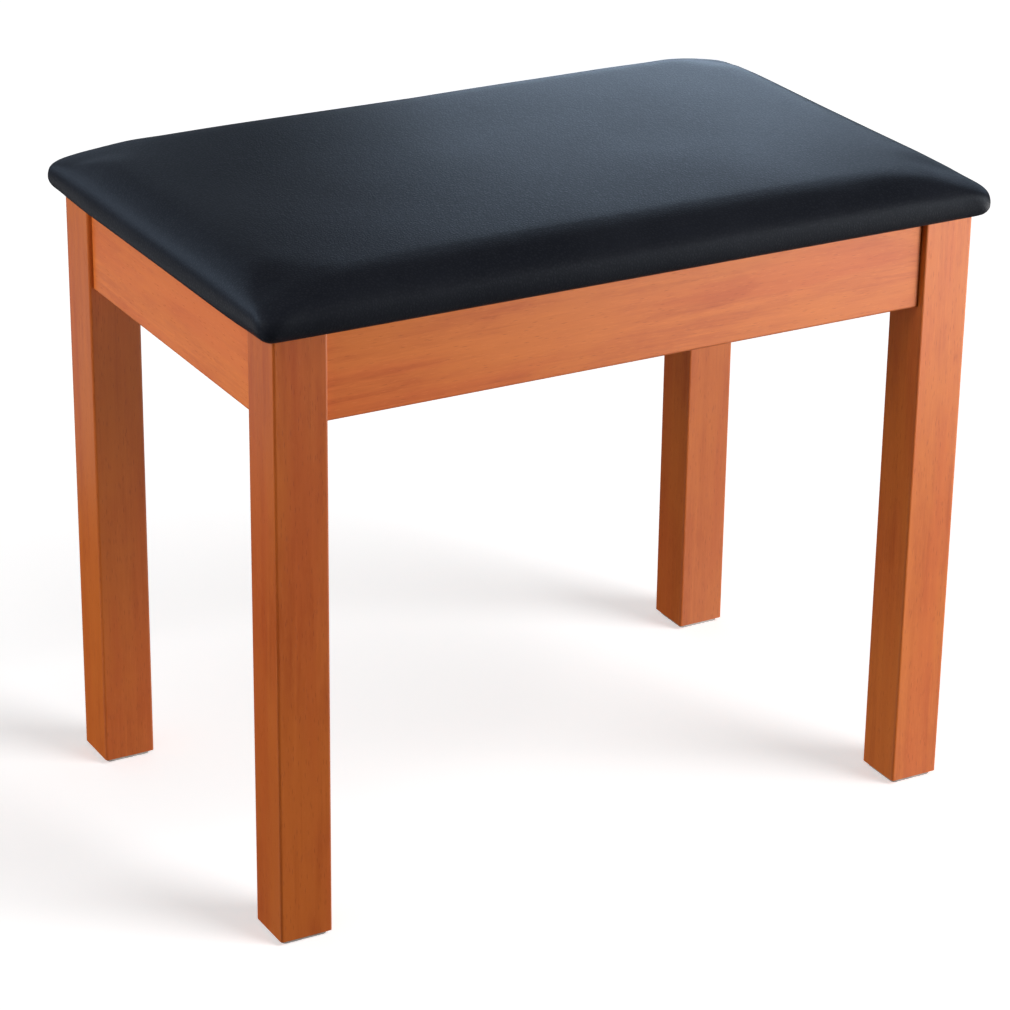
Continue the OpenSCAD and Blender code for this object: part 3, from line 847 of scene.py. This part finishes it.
# lamps that nothing mirrors: place, aim, size and power
KEY_NEAR = ((0.95, -1.10, 0.95), (0.1, 0, 0.30), (0.6, 0.6), 13.3)
LAMPS = {
    "fill": ((-1.2, -0.1, 0.9), (0, 0, 0.35), (0.8, 0.8), 12.5),
    "bounce_left": ((-1.0, 0.3, -0.7), (-0.1, 0, 0.25), (1.0, 1.4), 8.8),
    "bounce_right": ((0.9, -0.5, -0.7), (0.1, 0, 0.25), (1.0, 1.0), 17.0),
}
# a lamp behind the bench, and the only pieces that it lights
BACK_LAMP = ((0.6, 1.8, 0.8), (0, 0, 0.25), (0.9, 0.9), 22.0)
BACK_PIECES = ("rear_apron", "right_apron") + tuple(corner + "_leg" for corner in LEG_LIGHT_TONES)
# panels that are only mirrored, as a sheen: place, aim, size, power and colour
PANELS = {
    "sheen_low": ((0.95, 1.40, 0.60), (0.1, 0.05, 0.465), (0.6, 0.25), 1.8, COOL),
    "sheen_back": ((0.88, 1.32, 0.775), (0.1, 0.05, 0.465), (0.5, 0.5), 1.7, COOL),
    "sheen_right": ((1.17, 1.07, 0.85), (0.1, 0.05, 0.465), (0.5, 0.5), 1.4, COOL),
    "sheen_side": ((1.5, 0.5, 0.9), (0.1, 0.05, 0.465), (0.6, 0.6), 1.8, COOL),
    "sheen_middle": ((0.15, 1.6, 0.8), (0.1, 0.05, 0.465), (0.5, 0.5), 0.6, COOL),
    "sheen_left": ((-0.8, 1.3, 1.0), (-0.1, 0.0, 0.45), (0.9, 0.8), 3.0, COOL),
    "sheen_far_left": ((-1.4, 0.8, 1.0), (-0.1, 0.0, 0.45), (1.0, 0.9), 6.0, COOL),
    "front_panel": ((1.3, -1.0, 0.6), (0.2, 0.0, 0.44), (1.1, 0.9), 11.0, PALE_COOL),
    "glow_right": ((1.5, -0.5, 0.003), (1.5, -0.5, 1.0), (1.2, 1.2), 17.0, WHITE),
    "glow_left": ((-0.85, 1.0, 0.003), (-0.85, 1.0, 1.0), (0.8, 0.8), 1.2, WHITE),
}
# panels that only the wood's lacquer mirrors
WOOD_PANELS = {
    "haze_left": ((-0.7, 1.4, 1.3), (-0.25, 0.0, 0.45), (0.7, 0.7), 22.0, COOL),
    "haze_front": ((1.0, -1.3, 0.003), (1.0, -1.3, 1.0), (1.0, 0.8), 13.0, WHITE),
}


def aim_light(name, kind, place, aim):
    """A light at place that points at aim, and that the camera does not see."""
    light = add_object(name, bpy.data.lights.new(name, kind))
    light.location = place
    light.rotation_euler = (Vector(aim) - Vector(place)).to_track_quat("-Z", "Y").to_euler()
    light.visible_camera = False
    return light


def softbox(name, place, aim, size, power, colour=WHITE):
    """A rectangular studio light at place, facing aim."""
    light = aim_light(name, "AREA", place, aim)
    light.data.shape = "RECTANGLE"
    light.data.size, light.data.size_y = size
    light.data.energy = power
    light.data.color = colour
    return light


def light_set(name, objects, state):
    """A set for a lamp that holds these objects alone, or all but these."""
    members = bpy.data.collections.new(name)
    for k, o in enumerate(objects):
        members.objects.link(o)
        members.collection_objects[k].light_linking.link_state = state
    return members


def make_sky():
    """An even white sky that fades to black round the horizon, and that nothing mirrors."""
    world = bpy.data.worlds.new("studio")
    bpy.context.scene.world = world
    world.use_nodes = True
    tree = world.node_tree
    background = tree.nodes["Background"]
    background.inputs["Color"].default_value = (1.0, 1.0, 1.0, 1.0)
    toward = tree.nodes.new("ShaderNodeSeparateXYZ")
    tree.links.new(tree.nodes.new("ShaderNodeTexCoord").outputs["Generated"], toward.inputs[0])
    rise = tree.nodes.new("ShaderNodeMapRange")
    for socket, value in zip(rise.inputs[1:5], (-HORIZON, HORIZON, 0.0, SKY)):
        socket.default_value = value
    tree.links.new(toward.outputs["Z"], rise.inputs[0])
    tree.links.new(rise.outputs[0], background.inputs["Strength"])
    world.cycles_visibility.glossy = False


def link_lamp(light, lit, blockers=None):
    """Makes a light that nothing mirrors, for the pieces in lit. blockers are what can shade them from it:
    everything, unless a set is given."""
    light.visible_glossy = False
    light.light_linking.receiver_collection = lit
    light.light_linking.blocker_collection = blockers


def make_lamps(floor, seat):
    """All lamps and panels. seat is the cushion and the pieces under it."""
    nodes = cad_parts
    far_leg = nodes["rear_left_leg"]
    only_far_leg = light_set("only_far_leg", [far_leg], "INCLUDE")
    not_far_leg = light_set("not_far_leg", [far_leg], "EXCLUDE")
    not_floor = light_set("not_floor", [floor], "EXCLUDE")
    not_floor_or_far_leg = light_set("not_floor_or_far_leg", [floor, far_leg], "EXCLUDE")
    all_but_seat = light_set("all_but_seat", seat, "EXCLUDE")

    # the seat shades only the far leg from the two key lamps, so each of them is made twice
    for ending, lit, blockers in (("", not_far_leg, all_but_seat), ("_far", only_far_leg, None)):
        key = aim_light("key" + ending, "SUN", 3 * direction(*KEY_FROM), (0, 0, 0))
        key.data.energy = KEY_STRENGTH
        key.data.angle = math.radians(KEY_WIDTH)
        link_lamp(key, lit, blockers)
    # all but the sun-like key leave the floor alone, so that it stays even
    for ending, lit, blockers in (("", not_floor_or_far_leg, all_but_seat), ("_far", only_far_leg, None)):
        link_lamp(softbox("key_near" + ending, *KEY_NEAR), lit, blockers)
    for name, settings in LAMPS.items():
        link_lamp(softbox(name, *settings), not_floor)
    back_pieces = light_set("back_pieces", [nodes[name] for name in BACK_PIECES], "INCLUDE")
    link_lamp(softbox("back_lamp", *BACK_LAMP), back_pieces)

    wood_only = light_set("wood_only", [floor, seat[0]], "EXCLUDE")
    for panels, lit in ((PANELS, not_floor), (WOOD_PANELS, wood_only)):
        for name, settings in panels.items():
            panel = softbox(name, *settings)
            panel.visible_diffuse = False
            panel.light_linking.receiver_collection = lit


FLOOR_HALF = 12.0
FLOOR_GLOW = 0.50
FLOOR_COLOUR = (0.92, 0.92, 0.925, 1.0)


def make_floor():
    """A white floor that is clear from below. Its own glow stands for the studio's white surroundings."""
    mesh = bpy.data.meshes.new("floor")
    corners = [(x * FLOOR_HALF, y * FLOOR_HALF, 0) for x, y in ((-1, -1), (1, -1), (1, 1), (-1, 1))]
    mesh.from_pydata(corners, [], [(0, 1, 2, 3)])
    floor = add_object("floor", mesh)
    s = Shader("floor")
    s.set(Base_Color=FLOOR_COLOUR, Roughness=0.9)
    s.set(Emission_Color=(1, 1, 1, 1), Emission_Strength=FLOOR_GLOW)
    through = s.node("ShaderNodeBsdfTransparent")
    pick = s.node("ShaderNodeMixShader")
    behind = s.node("ShaderNodeNewGeometry").outputs["Backfacing"]
    s.feed(pick.inputs[0], behind)
    s.feed(pick.inputs[1], s.bsdf.outputs["BSDF"])
    s.feed(pick.inputs[2], through.outputs["BSDF"])
    s.feed(s.output.inputs["Surface"], pick.outputs[0])
    mesh.materials.append(s.material)
    # the floor is seen, but it neither lights the bench nor shades it: lamps below stand for its bounce
    floor.visible_diffuse = False
    floor.visible_glossy = False
    floor.visible_shadow = False
    return floor


make_camera()
dress_frame(felt())
floor = make_floor()
cushion = make_cushion(vinyl())
sheet = make_lining(lining())
make_sky()
make_lamps(floor, [cushion, sheet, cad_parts["seat_board"]])
